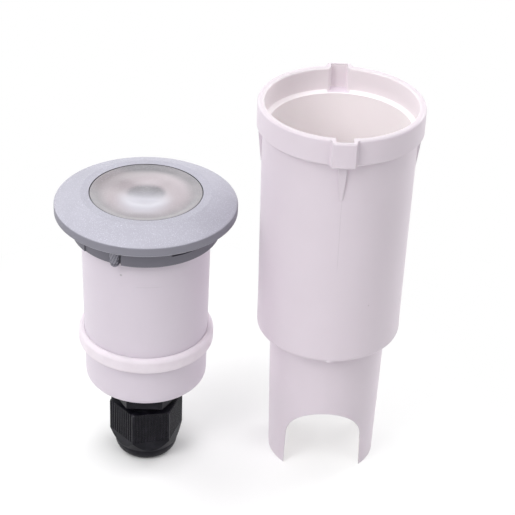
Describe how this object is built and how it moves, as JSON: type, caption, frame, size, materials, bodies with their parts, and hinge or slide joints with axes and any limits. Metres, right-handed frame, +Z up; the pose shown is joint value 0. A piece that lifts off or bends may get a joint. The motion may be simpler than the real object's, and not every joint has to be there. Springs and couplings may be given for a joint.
{
  "type": "recessed ground light",
  "caption": "Round recessed ground light with frosted dished lens, screw-on trim ring and cable gland, standing beside its white mounting sleeve.",
  "frame": {"origin": "middle of the footprint of the lamp and the sleeve together, on the surface that both stand on", "axes": "+Z up along the lamp's and the sleeve's axes, +X from the lamp to the sleeve, +Y away from the viewer"},
  "size_m": [0.1286, 0.0686, 0.1464],
  "materials": {
    "sleeve_plastic": "satin",
    "housing_plastic": "satin",
    "band_silicone": "satin",
    "trim_coating": "matte",
    "lens_frosted": "satin",
    "gasket_silicone": "matte",
    "reflector_white": "satin",
    "led_board_white": "satin",
    "led_phosphor": "satin",
    "screw_steel": "satin",
    "pad_silicone": "matte",
    "sink_aluminium": "satin",
    "wire_red": "satin",
    "wire_black": "satin",
    "board_green": "satin",
    "capacitor_sleeve": "gloss",
    "core_ferrite": "matte",
    "winding_copper": "gloss",
    "chip_epoxy": "matte",
    "terminal_green": "satin",
    "gland_nylon": "satin",
    "gland_rubber": "matte"
  },
  "bodies": {
    "sleeve": {"mounting_sleeve": "sleeve_plastic"},
    "lamp": {"housing": "housing_plastic", "centering_band": "band_silicone", "reflector": "reflector_white", "led_board": "led_board_white", "led_chips": "led_phosphor", "board_screws": "screw_steel", "thermal_pad": "pad_silicone", "heat_sink": "sink_aluminium", "sink_screws": "screw_steel", "led_wire_red": "wire_red", "led_wire_black": "wire_black", "driver_board": "board_green", "driver_capacitor": "capacitor_sleeve", "inductor_core": "core_ferrite", "inductor_winding": "winding_copper", "driver_chips": "chip_epoxy", "terminal_block": "terminal_green", "terminal_screws": "screw_steel", "gland_body": "gland_nylon", "gland_washer": "gland_rubber", "gland_lock_nut": "gland_nylon"},
    "lens_pack": {"lens": "lens_frosted", "lens_gasket": "gasket_silicone"},
    "trim": {"trim_ring": "trim_coating"},
    "seal": {"gland_seal": "gland_rubber"},
    "nut": {"dome_nut": "gland_nylon"}
  },
  "joints": [
    {"name": "lamp_lift", "type": "slide", "parent": "sleeve", "child": "lamp", "axis": [0, 0, 1], "range_m": [0, 0.15]},
    {"name": "lens_rise", "type": "slide", "parent": "lamp", "child": "lens_pack", "axis": [0, 0, 1], "range_m": [0, 0.007]},
    {"name": "ring_turn", "type": "hinge", "parent": "lens_pack", "child": "trim", "pos_m": [-0.03182, -0.00183, 0.1], "axis": [0, 0, 1], "range_deg": [0, 1260]},
    {"name": "seal_rise", "type": "slide", "parent": "lamp", "child": "seal", "axis": [0, 0, 1], "range_m": [0, 0.0015]},
    {"name": "nut_turn", "type": "hinge", "parent": "seal", "child": "nut", "pos_m": [-0.03182, -0.00183, 0.01], "axis": [0, 0, 1], "range_deg": [0, 360]}
  ],
  "couplings": [
    {"joint": "lens_rise", "follows": "ring_turn", "m_per_rad": 0.00031831},
    {"joint": "seal_rise", "follows": "nut_turn", "m_per_rad": 0.00023873}
  ]
}
